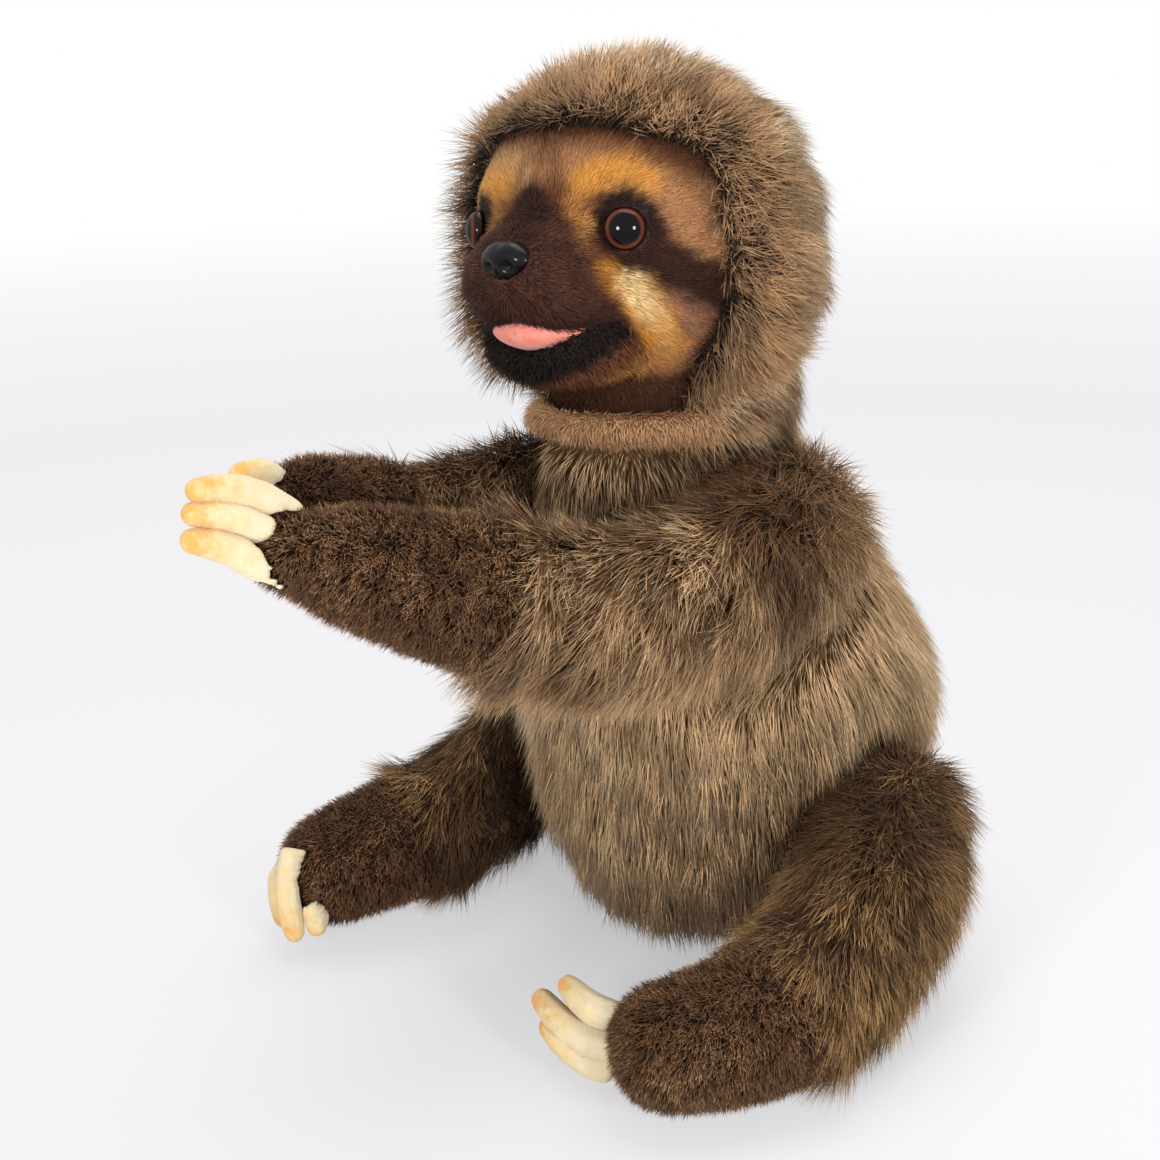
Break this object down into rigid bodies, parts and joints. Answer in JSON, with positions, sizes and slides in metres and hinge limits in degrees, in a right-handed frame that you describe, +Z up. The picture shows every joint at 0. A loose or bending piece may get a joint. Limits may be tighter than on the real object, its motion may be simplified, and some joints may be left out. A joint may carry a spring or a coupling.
{
  "type": "plush sloth",
  "caption": "Stuffed plush sloth that sits upright and reaches both arms forward, with long pile fur, soft claws, and a head and limbs that turn on disc joints",
  "frame": {"origin": "middle of the flat seat, on the floor that the toy sits on", "axes": "+Z up; the toy looks along -Y; +X is the toy's own left side"},
  "size_m": [0.2217, 0.2931, 0.2965],
  "materials": {
    "long_fur": "long matt pile with light tips",
    "dark_fur": "long matt pile, darker",
    "short_fur": "short curly pile",
    "face_fur": "short combed pile, shaded by airbrush",
    "muzzle_fur": "short combed pile",
    "lip_pink": "smooth velour",
    "throat_tan": "short pile",
    "claw_velour": "velour, shaded golden at the tip",
    "eye": "polished",
    "nose_black": "polished",
    "joint_plastic": "moulded",
    "stuffing": "loose fibre",
    "bag_cloth": "woven, filled with pellets"
  },
  "bodies": {
    "body": {"body_skin": "long_fur", "body_stuffing": "stuffing", "hip_left_counter_disc": "joint_plastic", "hip_right_counter_disc": "joint_plastic", "neck_counter_disc": "joint_plastic", "pellet_bag": "bag_cloth", "shoulder_left_counter_disc": "joint_plastic", "shoulder_right_counter_disc": "joint_plastic"},
    "head": {"eye_left": "eye", "eye_right": "eye", "eye_washer_left": "joint_plastic", "eye_washer_right": "joint_plastic", "face_panel": "face_fur", "head_hood": "long_fur", "head_stuffing": "stuffing", "jaw_cover": "muzzle_fur", "mouth_lining": "lip_pink", "muzzle_cover": "muzzle_fur", "neck_disc": "joint_plastic", "neck_lock": "joint_plastic", "nose": "nose_black", "nose_washer": "joint_plastic", "throat_roll": "throat_tan"},
    "arm_left": {"arm_skin_left": "long_fur", "arm_stuffing_left": "stuffing", "hand_claw_left_1": "claw_velour", "hand_claw_left_2": "claw_velour", "hand_claw_left_3": "claw_velour", "hand_sleeve_left": "short_fur", "shoulder_left_disc": "joint_plastic", "shoulder_left_lock": "joint_plastic"},
    "arm_right": {"arm_skin_right": "long_fur", "arm_stuffing_right": "stuffing", "hand_claw_right_1": "claw_velour", "hand_claw_right_2": "claw_velour", "hand_claw_right_3": "claw_velour", "hand_sleeve_right": "short_fur", "shoulder_right_disc": "joint_plastic", "shoulder_right_lock": "joint_plastic"},
    "leg_left": {"foot_claw_left_1": "claw_velour", "foot_claw_left_2": "claw_velour", "foot_claw_left_3": "claw_velour", "foot_skin_left": "short_fur", "hip_left_disc": "joint_plastic", "hip_left_lock": "joint_plastic", "leg_skin_left": "dark_fur", "leg_stuffing_left": "stuffing"},
    "leg_right": {"foot_claw_right_1": "claw_velour", "foot_claw_right_2": "claw_velour", "foot_claw_right_3": "claw_velour", "foot_skin_right": "short_fur", "hip_right_disc": "joint_plastic", "hip_right_lock": "joint_plastic", "leg_skin_right": "dark_fur", "leg_stuffing_right": "stuffing"}
  },
  "joints": [
    {"name": "neck_turn", "type": "hinge", "parent": "body", "child": "head", "pos_m": [0, -0.033, 0.1824], "axis": [0, 0, 1], "range_deg": [-40, 40]},
    {"name": "left_arm_raise", "type": "hinge", "parent": "body", "child": "arm_left", "pos_m": [0.0348, -0.0192, 0.15], "axis": [-0.965, 0.1963, -0.1736], "range_deg": [-15, 8]},
    {"name": "right_arm_raise", "type": "hinge", "parent": "body", "child": "arm_right", "pos_m": [-0.0348, -0.0192, 0.15], "axis": [-0.965, -0.1963, 0.1736], "range_deg": [-15, 8]},
    {"name": "left_leg_raise", "type": "hinge", "parent": "body", "child": "leg_left", "pos_m": [0.0621, -0.0009, 0.0525], "axis": [-0.9794, 0.1029, 0.1736], "range_deg": [0, 25]},
    {"name": "right_leg_raise", "type": "hinge", "parent": "body", "child": "leg_right", "pos_m": [-0.0621, -0.0009, 0.0525], "axis": [-0.9794, -0.1029, -0.1736], "range_deg": [0, 25]}
  ]
}
